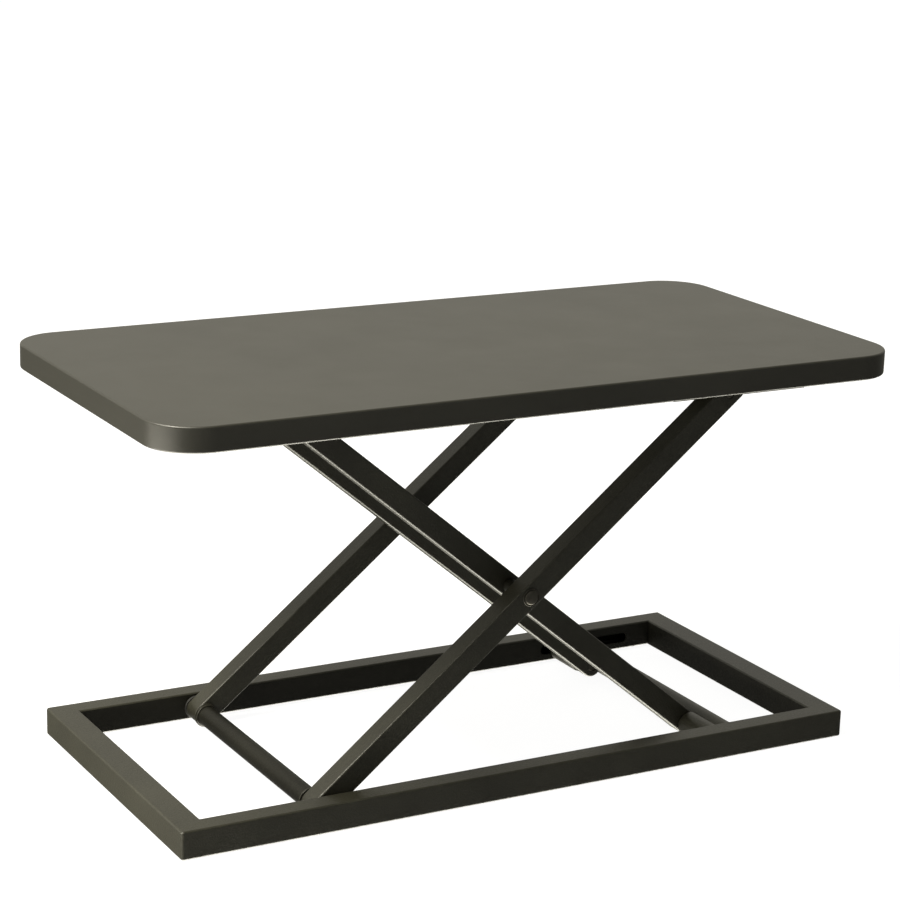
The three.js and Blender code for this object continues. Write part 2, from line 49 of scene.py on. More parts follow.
def make_camera():
    """The camera looks along its azimuth and elevation, and is then rolled about its own axis."""
    back = Vector((
        math.sin(CAMERA_AZIMUTH) * math.cos(CAMERA_ELEVATION),
        -math.cos(CAMERA_AZIMUTH) * math.cos(CAMERA_ELEVATION),
        math.sin(CAMERA_ELEVATION),
    ))
    right = (-back).cross(Vector((0, 0, 1))).normalized()
    up = right.cross(-back)
    rolled_right = math.cos(CAMERA_ROLL) * right + math.sin(CAMERA_ROLL) * up
    rolled_up = -math.sin(CAMERA_ROLL) * right + math.cos(CAMERA_ROLL) * up
    data = bpy.data.cameras.new("camera")
    data.lens = CAMERA_LENS
    data.sensor_width = SENSOR_WIDTH
    data.clip_start = CLIP_START
    data.clip_end = CLIP_END
    camera = bpy.data.objects.new("camera", data)
    turn = Matrix((rolled_right, rolled_up, back)).transposed()
    camera.matrix_world = Matrix.Translation(CAMERA_PLACE) @ turn.to_4x4()
    bpy.context.scene.collection.objects.link(camera)
    bpy.context.scene.camera = camera


make_camera()
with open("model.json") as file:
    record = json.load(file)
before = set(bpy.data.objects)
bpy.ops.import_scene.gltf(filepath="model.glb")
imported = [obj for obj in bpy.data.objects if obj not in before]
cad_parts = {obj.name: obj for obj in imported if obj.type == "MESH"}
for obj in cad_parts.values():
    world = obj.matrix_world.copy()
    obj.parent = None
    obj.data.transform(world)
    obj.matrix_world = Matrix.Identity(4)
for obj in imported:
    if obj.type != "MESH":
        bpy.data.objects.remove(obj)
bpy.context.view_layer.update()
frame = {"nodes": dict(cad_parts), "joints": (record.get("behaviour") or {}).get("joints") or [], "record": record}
nodes = frame["nodes"]
joints = {joint["name"]: joint for joint in frame["joints"]}


# ---- Places, read from the frame ----

def low(node):
    return Vector(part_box(node)[0])


def high(node):
    return Vector(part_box(node)[1])


def middle(node):
    return (low(node) + high(node)) / 2


def half_size(node, axis):
    return (high(node)[axis] - low(node)[axis]) / 2


FIXED_PIVOT = Vector(joints["lift"]["pos_m"])
CROSS = Vector(joints["cross"]["pos_m"])
CLIMB = math.atan2(CROSS.z - FIXED_PIVOT.z, CROSS.x - FIXED_PIVOT.x)
HALF_PITCH = (CROSS - FIXED_PIVOT).length


# ---- Materials: noise scales are per metre, and colours are linear ----

FLECK_SHARE = 0.7
LAMINATE_DARK = (0.0120, 0.0117, 0.0082)
LAMINATE_LIGHT = (0.0155, 0.0151, 0.0108)
STEEL_METALLIC = 0.75


def new_material(name):
    material = bpy.data.materials.new(name)
    material.use_nodes = True
    tree = material.node_tree
    tree.nodes.clear()
    shader = tree.nodes.new("ShaderNodeBsdfPrincipled")
    output = tree.nodes.new("ShaderNodeOutputMaterial")
    tree.links.new(shader.outputs["BSDF"], output.inputs["Surface"])
    return material, tree, shader


def noise(tree, vector, scale, detail=2.0, roughness=0.5):
    node = tree.nodes.new("ShaderNodeTexNoise")
    node.inputs["Scale"].default_value = scale
    node.inputs["Detail"].default_value = detail
    node.inputs["Roughness"].default_value = roughness
    tree.links.new(vector, node.inputs["Vector"])
    return node.outputs["Fac"]


def ramp(tree, factor, stops):
    """A colour ramp through stops of (position, rgb)."""
    node = tree.nodes.new("ShaderNodeValToRGB")
    elements = node.color_ramp.elements
    while len(elements) < len(stops):
        elements.new(0.5)
    for element, (position, colour) in zip(elements, stops):
        element.position = position
        element.color = (*colour, 1.0)
    tree.links.new(factor, node.inputs["Fac"])
    return node.outputs["Color"]


def spread(tree, factor, lowest, highest):
    """Maps 0..1 to lowest..highest."""
    node = tree.nodes.new("ShaderNodeMapRange")
    node.inputs["To Min"].default_value = lowest
    node.inputs["To Max"].default_value = highest
    tree.links.new(factor, node.inputs["Value"])
    return node.outputs["Result"]


def bump(tree, height, strength, distance, under=None):
    node = tree.nodes.new("ShaderNodeBump")
    node.inputs["Strength"].default_value = strength
    node.inputs["Distance"].default_value = distance
    tree.links.new(height, node.inputs["Height"])
    if under is not None:
        tree.links.new(under, node.inputs["Normal"])
    return node.outputs["Normal"]


def object_place(tree):
    return tree.nodes.new("ShaderNodeTexCoord").outputs["Object"]


def powder_coat(name, dark, light, rough_low, rough_high, specular):
    """Baked powder paint: a fine grain and orange peel over slow changes of tone and gloss."""
    material, tree, shader = new_material(name)
    place = object_place(tree)
    tone = noise(tree, place, 14.0, detail=4.0)
    fleck = noise(tree, place, 1150.0, detail=3.0, roughness=0.7)
    mix = tree.nodes.new("ShaderNodeMath")
    mix.operation = "MULTIPLY_ADD"
    mix.inputs[1].default_value = FLECK_SHARE
    tree.links.new(fleck, mix.inputs[0])
    slow = tree.nodes.new("ShaderNodeMath")
    slow.operation = "MULTIPLY"
    slow.inputs[1].default_value = 1.0 - FLECK_SHARE
    tree.links.new(tone, slow.inputs[0])
    tree.links.new(slow.outputs["Value"], mix.inputs[2])
    colour = ramp(tree, mix.outputs["Value"], ((0.38, dark), (0.62, light)))
    tree.links.new(colour, shader.inputs["Base Color"])
    gloss = noise(tree, place, 520.0, detail=4.0, roughness=0.65)
    tree.links.new(spread(tree, gloss, rough_low, rough_high), shader.inputs["Roughness"])
    peel = bump(tree, noise(tree, place, 620.0, detail=2.0), 0.42, 0.0004)
    grain = bump(tree, noise(tree, place, 1700.0, detail=3.0), 0.5, 0.0002, under=peel)
    tree.links.new(grain, shader.inputs["Normal"])
    shader.inputs["Specular IOR Level"].default_value = specular
    return material


def laminate(name):
    """Satin charcoal laminate with a very fine pebbled press texture."""
    material, tree, shader = new_material(name)
    place = object_place(tree)
    tone = noise(tree, place, 7.0, detail=5.0, roughness=0.6)
    colour = ramp(tree, tone, ((0.3, LAMINATE_DARK), (0.7, LAMINATE_LIGHT)))
    tree.links.new(colour, shader.inputs["Base Color"])
    gloss = noise(tree, place, 24.0, detail=4.0)
    tree.links.new(spread(tree, gloss, 0.40, 0.47), shader.inputs["Roughness"])
    pebble = noise(tree, place, 2100.0, detail=2.0)
    tree.links.new(bump(tree, pebble, 0.3, 0.0001), shader.inputs["Normal"])
    shader.inputs["Specular IOR Level"].default_value = 0.6
    return material


def blackened_steel(name, dark, light):
    """Black-oxide steel: metallic, with faint turning lines and rubbed tone."""
    material, tree, shader = new_material(name)
    place = object_place(tree)
    tone = noise(tree, place, 160.0, detail=4.0)
    tree.links.new(ramp(tree, tone, ((0.3, dark), (0.7, light))), shader.inputs["Base Color"])
    rub = noise(tree, place, 420.0, detail=3.0)
    tree.links.new(spread(tree, rub, 0.30, 0.46), shader.inputs["Roughness"])
    tree.links.new(bump(tree, noise(tree, place, 1900.0), 0.2, 0.00008), shader.inputs["Normal"])
    shader.inputs["Metallic"].default_value = STEEL_METALLIC
    return material


def moulded(name, dark, light, rough_low, rough_high):
    """Moulded rubber or nylon with a fine spark-eroded skin."""
    material, tree, shader = new_material(name)
    place = object_place(tree)
    tone = noise(tree, place, 90.0, detail=3.0)
    tree.links.new(ramp(tree, tone, ((0.3, dark), (0.7, light))), shader.inputs["Base Color"])
    rub = noise(tree, place, 300.0, detail=3.0)
    tree.links.new(spread(tree, rub, rough_low, rough_high), shader.inputs["Roughness"])
    tree.links.new(bump(tree, noise(tree, place, 2400.0), 0.35, 0.0001), shader.inputs["Normal"])
    return material


FRAME_PAINT = powder_coat(
    "frame_paint", (0.0085, 0.0083, 0.0052), (0.0215, 0.0210, 0.0138), 0.32, 0.56, 0.42)
# The same paint, darker, as painted shade where the object shades itself: the base frame's inner faces,
# the outer tie tube and the pivot spacers.
PAINTED_SHADE_PAINT = powder_coat(
    "painted_shade_paint", (0.0040, 0.0039, 0.0026), (0.0100, 0.0097, 0.0066), 0.38, 0.60, 0.17)
TABLE_SKIN = laminate("table_laminate")
DARK_STEEL = blackened_steel("dark_steel_finish", (0.045, 0.043, 0.035), (0.085, 0.081, 0.068))
ZINC = blackened_steel("zinc_finish", (0.42, 0.42, 0.40), (0.60, 0.60, 0.58))
RUBBER = moulded("foot_rubber", (0.006, 0.006, 0.0055), (0.012, 0.012, 0.011), 0.75, 0.9)
NYLON = moulded("roller_nylon", (0.010, 0.010, 0.009), (0.020, 0.020, 0.018), 0.45, 0.6)
FINISH = {"powder_coat": FRAME_PAINT, "laminate": TABLE_SKIN, "dark_steel": DARK_STEEL,
          "zinc_steel": ZINC, "rubber": RUBBER, "nylon": NYLON}


# ---- Making pieces ----

def link_piece(name, mesh, body, slot, replaced, finish=None):
    """Links a closed mesh as a piece: shading, finish, body and the CAD nodes that it stands for."""
    mesh.name = name
    mesh.materials.clear()
    mesh.materials.append(finish or FINISH[slot])
    mesh.shade_smooth()
    mesh.set_sharp_from_angle(angle=FLAT_ANGLE)
    piece = bpy.data.objects.new(name, mesh)
    bpy.context.scene.collection.objects.link(piece)
    piece.modifiers.new("flat_faces", "WEIGHTED_NORMAL").keep_sharp = True
    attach(piece, body)
    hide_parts(*replaced)
    return piece


def mesh_of(shape):
    """A bmesh as a mesh, with its faces pointing out."""
    bmesh.ops.recalc_face_normals(shape, faces=shape.faces)
    mesh = bpy.data.meshes.new("shape")
    shape.to_mesh(mesh)
    shape.free()
    return mesh


def cut(mesh, cutters):
    """The mesh with each cutter mesh taken out of it."""
    scene = bpy.context.scene
    whole = bpy.data.objects.new("whole", mesh)
    scene.collection.objects.link(whole)
    tools = []
    for cutter in cutters:
        tool = bpy.data.objects.new("cutter", cutter)
        scene.collection.objects.link(tool)
        tools.append(tool)
        modifier = whole.modifiers.new("cut", "BOOLEAN")
        modifier.operation = "DIFFERENCE"
        modifier.solver = "EXACT"
        modifier.object = tool
    graph = bpy.context.evaluated_depsgraph_get()
    result = bpy.data.meshes.new_from_object(whole.evaluated_get(graph))
    for leftover in [whole, *tools]:
        source = leftover.data
        bpy.data.objects.remove(leftover)
        bpy.data.meshes.remove(source)
    return result


def skin(shape, rings, closed=False):
    """Quads between rings of equally many points; the rings' own loops are closed."""
    loops = [[shape.verts.new(point) for point in ring] for ring in rings]
    pairs = list(zip(loops, loops[1:]))
    if closed:
        pairs.append((loops[-1], loops[0]))
    for first, second in pairs:
        for i in range(len(first)):
            j = (i + 1) % len(first)
            shape.faces.new((first[i], first[j], second[j], second[i]))
    return loops


def turned(points, place, sides=64):
    """A ring turned about Y through place; points are (radius, y) pairs round its closed section."""
    shape = bmesh.new()
    rings = []
    for step in range(sides):
        angle = 2 * math.pi * step / sides
        rings.append([
            Vector((place.x + radius * math.cos(angle), place.y + y, place.z + radius * math.sin(angle)))
            for radius, y in points
        ])
    skin(shape, rings, closed=True)
    return mesh_of(shape)


def turned_solid(points, place, sides=64):
    """A solid turned about Y through place; points start and end on the axis."""
    shape = bmesh.new()
    inner = points[1:-1]
    rings = []
    for radius, y in inner:
        rings.append([
            Vector((place.x + radius * math.cos(2 * math.pi * step / sides), place.y + y,
                    place.z + radius * math.sin(2 * math.pi * step / sides)))
            for step in range(sides)
        ])
    loops = skin(shape, rings)
    for loop, (_, y) in ((loops[0], points[0]), (loops[-1], points[-1])):
        tip = shape.verts.new(Vector((place.x, place.y + y, place.z)))
        for i in range(sides):
            shape.faces.new((loop[i], loop[(i + 1) % sides], tip))
    return mesh_of(shape)


def rod(radius, length, place, sides=48):
    """A plain cutter rod along Y, centred on place."""
    half = length / 2
    return turned_solid([(0, -half), (radius, -half), (radius, half), (0, half)], place, sides)


def box_mesh(lowest, highest):
    shape = bmesh.new()
    bmesh.ops.create_cube(shape, size=1.0)
    for vertex in shape.verts:
        vertex.co = Vector([
            lowest[k] + (vertex.co[k] + 0.5) * (highest[k] - lowest[k]) for k in range(3)
        ])
    return mesh_of(shape)


def rounded_section(width, height, radius, steps=5):
    """Points round a rounded rectangle with its corner at the origin."""
    points = []
    corners = ((width - radius, height - radius, 0), (radius, height - radius, 90),
               (radius, radius, 180), (width - radius, radius, 270))
    for centre_x, centre_y, start in corners:
        for step in range(steps + 1):
            angle = math.radians(start + 90 * step / steps)
            points.append((centre_x + radius * math.cos(angle), centre_y + radius * math.sin(angle)))
    return points


# ---- Base frame: four tubes that meet at mitres, with softly rounded corners ----

BASE_LOW = Vector([min(low("base_rail_front")[k], low("base_rail_left")[k]) for k in range(3)])
BASE_HIGH = Vector([max(high("base_rail_back")[k], high("base_rail_right")[k]) for k in range(3)])
LONG_WIDTH = high("base_rail_front").y - low("base_rail_front").y
END_WIDTH = high("base_rail_left").x - low("base_rail_left").x
RAIL_HEIGHT = BASE_HIGH.z - BASE_LOW.z
RAIL_WALL = 1.6 * MM
RAIL_EDGE = 1.8 * MM
CORNER_RADIUS = 2.6 * MM
CORNER_STEPS = 5
MITRE_STEP = 0.02 * MM
INWARD_FACING = 0.9
SLOT_HALF_HEIGHT = 4.6 * MM
SLOT_STEPS = 12
PIN_BORE = 5.3 * MM
CUT_OVERRUN = 0.8 * MM


def mitre(depth, width, other_width):
    """How far in from the frame's end the mitre lies, at a depth from the rail's outer face."""
    if depth <= CORNER_RADIUS:
        return depth
    return CORNER_RADIUS + (depth - CORNER_RADIUS) * (other_width - CORNER_RADIUS) / (width - CORNER_RADIUS)


def rail_rings(section, half_length, width, other_width):
    """Rings (along, depth, height) from one mitred end of a rail to the other."""
    ring_sets = []
    for end in (-1, 1):
        rings = []
        for step in range(CORNER_STEPS + 1):
            turn = math.radians(45 + 45 * step / CORNER_STEPS)
            ring = []
            for depth, height in section:
                if depth < CORNER_RADIUS:
                    reach = CORNER_RADIUS - depth
                    along = half_length - CORNER_RADIUS + reach * math.cos(turn)
                    inward = CORNER_RADIUS - reach * math.sin(turn)
                else:
                    along = half_length - mitre(depth, width, other_width)
                    along -= MITRE_STEP * step
                    inward = depth
                ring.append((end * along, inward, height))
            rings.append(ring)
        ring_sets.append(rings if end < 0 else rings[::-1])
    return ring_sets[0] + ring_sets[1]


def make_rail(name, along_x, sign):
    """A mitred rail along X or Y on the side of sign; the faces that look into the frame get painted shade."""
    half_length = (BASE_HIGH.x - BASE_LOW.x) / 2 if along_x else (BASE_HIGH.y - BASE_LOW.y) / 2
    outer = (BASE_HIGH.y - BASE_LOW.y) / 2 if along_x else (BASE_HIGH.x - BASE_LOW.x) / 2
    width, other = (LONG_WIDTH, END_WIDTH) if along_x else (END_WIDTH, LONG_WIDTH)
    outside = rounded_section(width, RAIL_HEIGHT, RAIL_EDGE)
    inside = [
        (RAIL_WALL + depth * (width - 2 * RAIL_WALL) / width,
         RAIL_WALL + height * (RAIL_HEIGHT - 2 * RAIL_WALL) / RAIL_HEIGHT)
        for depth, height in outside
    ]

    def place(point):
        along, depth, height = point
        across = sign * (outer - depth)
        lift = BASE_LOW.z + height
        return Vector((along, across, lift)) if along_x else Vector((across, along, lift))

    shape = bmesh.new()
    outer_loops, inner_loops = [
        skin(shape, [[place(p) for p in ring] for ring in rail_rings(section, half_length, width, other)])
        for section in (outside, inside)
    ]
    for k in (0, -1):
        first, second = outer_loops[k], inner_loops[k]
        for i in range(len(first)):
            j = (i + 1) % len(first)
            shape.faces.new((first[i], first[j], second[j], second[i]))
    mesh = mesh_of(shape)
    if along_x:
        mesh = cut(mesh, rail_cutters(sign, outer - width))
    piece = link_piece(name + "_tube", mesh, "base", "powder_coat", [name])
    # Painted shade: the faces that look into the frame take the darker copy of the paint.
    piece.data.materials.append(PAINTED_SHADE_PAINT)
    inward = Vector((0, -sign, 0)) if along_x else Vector((-sign, 0, 0))
    for face in piece.data.polygons:
        if face.normal.dot(inward) > INWARD_FACING:
            face.material_index = 1


def roller_travel():
    """The rolling axles' nearest and farthest places along X, from the lift joint's range."""
    lowest, highest = [math.radians(limit) for limit in joints["lift"]["range_deg"]]
    far = FIXED_PIVOT.x + 2 * HALF_PITCH * math.cos(CLIMB + lowest)
    near = FIXED_PIVOT.x + 2 * HALF_PITCH * math.cos(CLIMB + highest)
    return near, far


def rail_cutters(sign, inner_y):
    """The slot that the rolling axle runs in and the hole of the fixed pin, through the inner wall."""
    near, far = roller_travel()
    wall_y = sign * (inner_y + RAIL_WALL / 2)
    reach = RAIL_WALL + CUT_OVERRUN
    axis_z = FIXED_PIVOT.z
    slot = bmesh.new()
    outline = []
    for centre, start in ((far, -90), (near, 90)):
        for step in range(SLOT_STEPS + 1):
            angle = math.radians(start + 180 / SLOT_STEPS * step)
            along = centre + SLOT_HALF_HEIGHT * math.cos(angle)
            outline.append((along, axis_z + SLOT_HALF_HEIGHT * math.sin(angle)))
    loops = skin(slot, [[Vector((x, wall_y + side * reach, z)) for x, z in outline] for side in (-0.5, 0.5)])
    slot.faces.new(loops[0])
    slot.faces.new(loops[1])
    pin_hole = rod(PIN_BORE, reach, Vector((FIXED_PIVOT.x, wall_y, axis_z)))
    return [mesh_of(slot), pin_hole]


make_rail("base_rail_front", True, -1)
make_rail("base_rail_back", True, 1)
make_rail("base_rail_left", False, -1)
make_rail("base_rail_right", False, 1)


# ---- Arms: each one continuous square tube with rounded ends ----

ARM_EDGE = 1.6 * MM
ARM_WALL = 1.6 * MM
ARM_BLOCK = 30 * MM
ARM_HALF = (high("outer_arm_front").y - low("outer_arm_front").y) / 2
END_STEPS = 20
SHARP_EDGE = math.radians(40)
CUTTER_REACH = 2.4 * ARM_HALF
BASE_PIN_BORE = 5.4 * MM
AXLE_BORE = 4.4 * MM
TRACK_AXLE_BORE = 3.4 * MM
INNER_TIE_SEAT = 10.8 * MM
INNER_TIE = middle("inner_tie")


def arm_outline(half_pitch, heel):
    """Points (along, above) round an arm: both ends round, and a heel where the head meets the table."""
    points = []
    for step in range(END_STEPS + 1):
        angle = math.radians(90 + 180 * step / END_STEPS)
        points.append((-half_pitch + ARM_HALF * math.cos(angle), ARM_HALF * math.sin(angle)))
    if heel:
        points.append((half_pitch + ARM_HALF, -ARM_HALF))
    first = 0 if heel else -90
    steps = END_STEPS // 2 if heel else END_STEPS
    for step in range(steps + 1):
        angle = math.radians(first + (90 - first) * step / steps)
        points.append((half_pitch + ARM_HALF * math.cos(angle), ARM_HALF * math.sin(angle)))
    return points


def arm_hollow(middle_point, along, above):
    """The square hollow down an arm, stopping at the solid block in each end."""
    inner = ARM_HALF - ARM_WALL
    reach = HALF_PITCH - ARM_BLOCK
    rings = [
        [middle_point + u * along + w * above + Vector((0, side_y * inner, 0)) for u, w in
         ((-reach, -inner), (reach, -inner), (reach, inner), (-reach, inner))]
        for side_y in (-1, 1)
    ]
    shape = bmesh.new()
    loops = skin(shape, rings)
    shape.faces.new(loops[0])
    shape.faces.new(loops[1])
    return mesh_of(shape)


def make_arm(name, side, climb, bores, heel, bolt_walls, seat=None):
    """An arm whose middle is the cross pivot, at an angle of climb.

    bores are (along, radius) pairs, bolt_walls are the walls that the centre bolt passes, as signs
    along Y, and seat is a cutter for the tube that lies against the arm's foot.
    """
    along = Vector((math.cos(climb), 0, math.sin(climb)))
    above = Vector((-math.sin(climb), 0, math.cos(climb)))
    middle_point = Vector((CROSS.x, middle(f"{name}_{side}").y, CROSS.z))
    shape = bmesh.new()
    outline = arm_outline(HALF_PITCH, heel)
    rings = [
        [middle_point + u * along + w * above + Vector((0, side_y * ARM_HALF, 0)) for u, w in outline]
        for side_y in (-1, 1)
    ]
    loops = skin(shape, rings)
    rims = [shape.faces.new(loops[0]), shape.faces.new(loops[1])]
    bmesh.ops.recalc_face_normals(shape, faces=shape.faces)
    edges = list({edge for face in rims for edge in face.edges})
    edges += [edge for edge in shape.edges if edge not in edges and edge.calc_face_angle(0) > SHARP_EDGE]
    bmesh.ops.bevel(shape, geom=edges, offset=ARM_EDGE, segments=4, profile=0.5, affect="EDGES")
    mesh = mesh_of(shape)
    cutters = [rod(radius, CUTTER_REACH, middle_point + u * along) for u, radius in bores]
    cutters.append(arm_hollow(middle_point, along, above))
    for wall_side in bolt_walls:
        cutters.append(rod(AXLE_BORE, ARM_HALF, middle_point + Vector((0, wall_side * ARM_HALF, 0))))
    if seat is not None:
        cutters.append(seat)
    replaced = [f"{name}_{side}", f"{name}_foot_{side}", f"{name}_head_{side}"]
    link_piece(f"{name}_{side}_tube", cut(mesh, cutters), name + "s", "powder_coat", replaced)


for side, sign in SIDES:
    outer_bores = [(-HALF_PITCH, BASE_PIN_BORE), (HALF_PITCH, TRACK_AXLE_BORE)]
    make_arm("outer_arm", side, CLIMB, outer_bores, True, (-1, 1))
    tie_place = Vector((INNER_TIE.x, middle(f"inner_arm_{side}").y, INNER_TIE.z))
    tie_seat = rod(INNER_TIE_SEAT, 3 * ARM_HALF, tie_place)
    inner_bores = [(-HALF_PITCH, AXLE_BORE), (HALF_PITCH, AXLE_BORE)]
    make_arm("inner_arm", side, -CLIMB, inner_bores, False, (sign,), tie_seat)


# ---- Tie tubes, collars and sleeves ----

OUTER_TIE_BORE = 6.25 * MM
INNER_TIE_BORE = 8.0 * MM
TIE_LIP = 0.6 * MM
SLEEVE_LIP = 0.8 * MM
LIP_SHARE = 0.3
SEAT_SIDES = 64
TIE_RADIUS = half_size("outer_tie", 2)
COLLAR_STEP = 1.0 * MM
COLLAR_FLANGE = 1.3 * MM
COLLAR_EASE = 0.35 * MM
COLLAR_GAP = 0.3 * MM


def tube_points(radius, bore, half, lip):
    """A round tube's closed section, with its outer rims eased by lip."""
    ease = LIP_SHARE * lip
    return [(bore, -half), (radius - lip, -half), (radius - ease, -half + ease), (radius, -half + lip),
            (radius, half - lip), (radius - ease, half - ease), (radius - lip, half), (bore, half)]


def make_tube(name, body, bore, finish):
    points = tube_points(half_size(name, 2), bore, half_size(name, 1), TIE_LIP)
    link_piece(name + "_smooth", turned(points, middle(name)), body, "powder_coat", [name], finish)


def make_collar(name, sign):
    """A thin flange against the arm and a narrower hub round the tie tube."""
    radius = half_size(name, 2)
    half = half_size(name, 1)
    ease = COLLAR_EASE
    hub = radius - COLLAR_STEP
    step_y = half - COLLAR_FLANGE
    bore = TIE_RADIUS + COLLAR_GAP
    points = [(bore, -half), (hub - ease, -half), (hub, -half + ease), (hub, step_y),
              (radius - ease, step_y), (radius, step_y + ease), (radius, half - ease),
              (radius - ease, half), (bore, half)]
    points = [(r, sign * y) for r, y in points]
    link_piece(name + "_turned", turned(points, middle(name)), "outer_arms", "powder_coat", [name])


def make_sleeve(name):
    """A sleeve on the rolling axle, cut where the inner tie tube lies against it."""
    half = half_size(name, 1)
    radius = half_size(name, 2)
    seat = rod(INNER_TIE_SEAT, 4 * half, Vector((INNER_TIE.x, middle(name).y, INNER_TIE.z)), SEAT_SIDES)
    centre = Vector((low(name).x + radius, middle(name).y, middle(name).z))
    mesh = cut(turned(tube_points(radius, AXLE_BORE, half, SLEEVE_LIP), centre), [seat])
    link_piece(name + "_smooth", mesh, "inner_arms", "powder_coat", [name])


# The outer tie tube takes the darker copy of the paint: painted shade from the tabletop above.
make_tube("outer_tie", "outer_arms", OUTER_TIE_BORE, PAINTED_SHADE_PAINT)
make_tube("inner_tie", "inner_arms", INNER_TIE_BORE, FRAME_PAINT)
for side, sign in SIDES:
    make_collar(f"tie_collar_{side}", sign)
    make_sleeve(f"axle_sleeve_{side}")


# ---- Centre bolts: a rim, a groove and a low dome ----

BOLT_HEIGHT = 2.2 * MM
BOLT_SHANK = 4.0 * MM
BOLT_SHANK_EASE = 0.5 * MM
BOLT_DISC = 6.1 * MM
BOLT_GROOVE = 7.15 * MM
BOLT_FLOOR = 0.1 * MM
BOLT_EASE = 0.15 * MM
BOLT_RIM = 0.7 * MM
DISC_SIDE = 1.2 * MM
DISC_SHOULDER = 1.5 * MM
DOME_START = 1.6 * MM
DOME_RISE = 0.6 * MM
DOME_INSET = 0.4 * MM
DOME_STEPS = 6


def bolt_points(radius, seat_y, shank_end):
    """Half a bolt's section, from its shank's end on the axis to its dome's top, as (radius, y)."""
    points = [(0, shank_end), (BOLT_SHANK - BOLT_SHANK_EASE, shank_end),
              (BOLT_SHANK, shank_end + BOLT_SHANK_EASE), (BOLT_SHANK, seat_y)]
    rim = ((radius - BOLT_EASE, 0), (radius, BOLT_EASE), (radius, 0.5 * MM), (radius - 0.2 * MM, BOLT_RIM),
           (BOLT_GROOVE + 0.1 * MM, BOLT_RIM), (BOLT_GROOVE, 0.6 * MM), (BOLT_GROOVE, BOLT_FLOOR),
           (BOLT_DISC, BOLT_FLOOR), (BOLT_DISC, DISC_SIDE), (BOLT_DISC - BOLT_EASE, DISC_SHOULDER))
    points += [(r, seat_y + y) for r, y in rim]
    for step in range(1, DOME_STEPS):
        angle = math.radians(90 * step / DOME_STEPS)
        points.append(((BOLT_DISC - DOME_INSET) * math.cos(angle),
                       seat_y + DOME_START + DOME_RISE * math.sin(angle)))
    points.append((0, seat_y + BOLT_HEIGHT))
    return points


def make_bolt(name, sign):
    outer_face = sign * (high(name).y if sign > 0 else low(name).y)
    shank_end = sign * (low(name).y if sign > 0 else high(name).y)
    points = bolt_points(half_size(name, 2), outer_face - BOLT_HEIGHT, shank_end)
    mesh = turned_solid([(r, sign * y) for r, y in points], Vector((CROSS.x, 0, CROSS.z)))
    link_piece(name + "_turned", mesh, "outer_arms", "dark_steel", [name])


for side, sign in SIDES:
    make_bolt(f"pivot_bolt_{side}", sign)


# ---- Tabletop: one board with rounded corners and eased edges ----

TABLE_LOW, TABLE_HIGH = low("tabletop"), high("tabletop")
TABLE_CORNER = 42 * MM
TABLE_EASE = 1.7 * MM
TABLE_CORNER_STEPS = 24
TABLE_EASE_STEPS = 6


def table_ring(inset, z):
    """The tabletop's outline drawn in by inset, at height z."""
    points = []
    radius = TABLE_CORNER - inset
    centre_x = TABLE_HIGH.x - TABLE_CORNER
    centre_y = TABLE_HIGH.y - TABLE_CORNER
    for sign_x, sign_y, start in ((1, 1, 0), (-1, 1, 90), (-1, -1, 180), (1, -1, 270)):
        for step in range(TABLE_CORNER_STEPS + 1):
            angle = math.radians(start + 90 * step / TABLE_CORNER_STEPS)
            points.append(Vector((sign_x * centre_x + radius * math.cos(angle),
                                  sign_y * centre_y + radius * math.sin(angle), z)))
    return points


def make_tabletop():
    turns = [math.radians(90 * step / TABLE_EASE_STEPS) for step in range(TABLE_EASE_STEPS + 1)]
    rings = []
    for angle in turns:
        lift = TABLE_EASE * (1 - math.cos(angle))
        rings.append(table_ring(TABLE_EASE * (1 - math.sin(angle)), TABLE_LOW.z + lift))
    for angle in turns:
        drop = TABLE_EASE * (1 - math.sin(angle))
        rings.append(table_ring(TABLE_EASE * (1 - math.cos(angle)), TABLE_HIGH.z - drop))
    shape = bmesh.new()
    loops = skin(shape, rings)
    shape.faces.new(loops[0])
    shape.faces.new(loops[-1])
    link_piece("tabletop_board", mesh_of(shape), "table", "laminate", ["tabletop"])


make_tabletop()


# ---- Screws under the tabletop: pan heads with a cross recess ----

SCREW_SIDES = 32
SCREW_SHANK = 1.9 * MM
SCREW_HEAD = 1.2 * MM
SCREW_NECK = 0.8 * MM
SCREW_TIP = 1.6 * MM
THREAD_PITCH = 1.2 * MM
THREAD_CREST = 0.1 * MM
THREAD_CREST_AT = 0.35 * MM
THREAD_DEPTH = 0.35 * MM
THREAD_ROOT_AT = 0.8 * MM
THREAD_END = 3.2 * MM
RECESS_HALF_WIDTH = 0.42 * MM
RECESS_DEPTH = 0.8 * MM


def screw_points(head_radius, length):
    """Half a screw's section, from its head's top on the axis to its tip, as (radius, y)."""
    points = [(0, 0), (0.45 * head_radius, 0.05 * MM), (0.8 * head_radius, 0.3 * MM),
              (head_radius, 0.75 * MM), (head_radius, SCREW_HEAD), (SCREW_SHANK, SCREW_HEAD)]
    climb = SCREW_HEAD + SCREW_NECK
    while climb < length - THREAD_END:
        points += [(SCREW_SHANK, climb), (SCREW_SHANK + THREAD_CREST, climb + THREAD_CREST_AT),
                   (SCREW_SHANK - THREAD_DEPTH, climb + THREAD_ROOT_AT)]
        climb += THREAD_PITCH
    return points + [(0.5 * SCREW_SHANK, length - SCREW_TIP), (0, length)]


